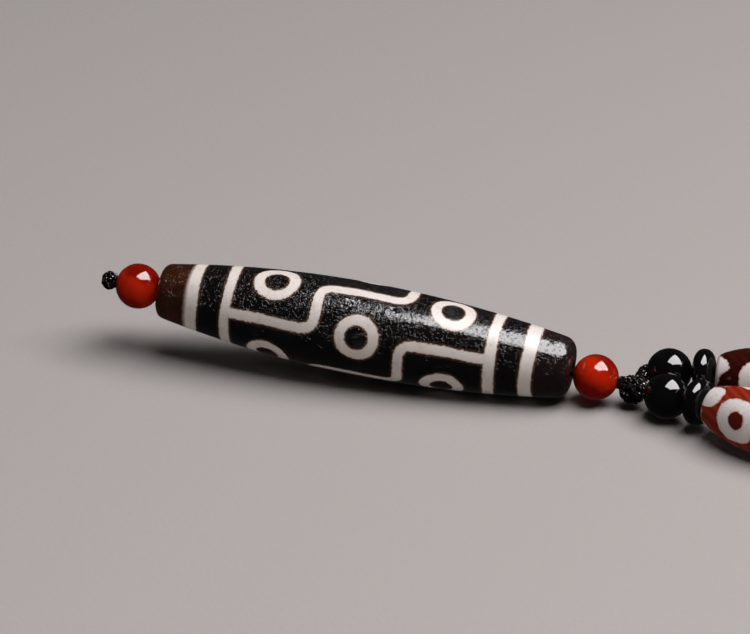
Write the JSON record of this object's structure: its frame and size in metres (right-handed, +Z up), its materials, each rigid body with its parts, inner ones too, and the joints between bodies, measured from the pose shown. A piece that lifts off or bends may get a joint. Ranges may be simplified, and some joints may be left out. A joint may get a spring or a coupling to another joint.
{
  "type": "dzi bead necklace",
  "caption": "Necklace of black onyx beads on a knotted cord, with small red and white dzi beads and a long patterned dzi bead pendant between red beads.",
  "frame": {"origin": "centre of the bounding box, on the floor that the necklace lies on", "axes": "+X from the pendant's free end to the far side of the bead loop, +Z up"},
  "size_m": [0.3076, 0.1658, 0.0133],
  "materials": {
    "dzi_agate": "black etched agate with ivory lines, polished over a fine crackle",
    "carnelian": "polished translucent red agate",
    "onyx": "mirror polished black onyx",
    "small_dzi_agate": "polished red agate with white etched pattern",
    "cord": "braided black waxed cord"
  },
  "bodies": {
    "root": {"end_knot": "cord", "outer_carnelian": "carnelian", "main_dzi": "dzi_agate", "inner_carnelian": "carnelian", "pendant_thread": "cord", "junction_knot": "cord", "near_onyx": "onyx", "near_inner_disc": "onyx", "near_small_dzi": "small_dzi_agate", "near_outer_disc": "onyx", "near_onyx_string": "onyx", "far_onyx": "onyx", "far_inner_disc": "onyx", "far_small_dzi": "small_dzi_agate", "far_outer_disc": "onyx", "far_onyx_string": "onyx", "loop_thread": "cord"}
  },
  "joints": []
}
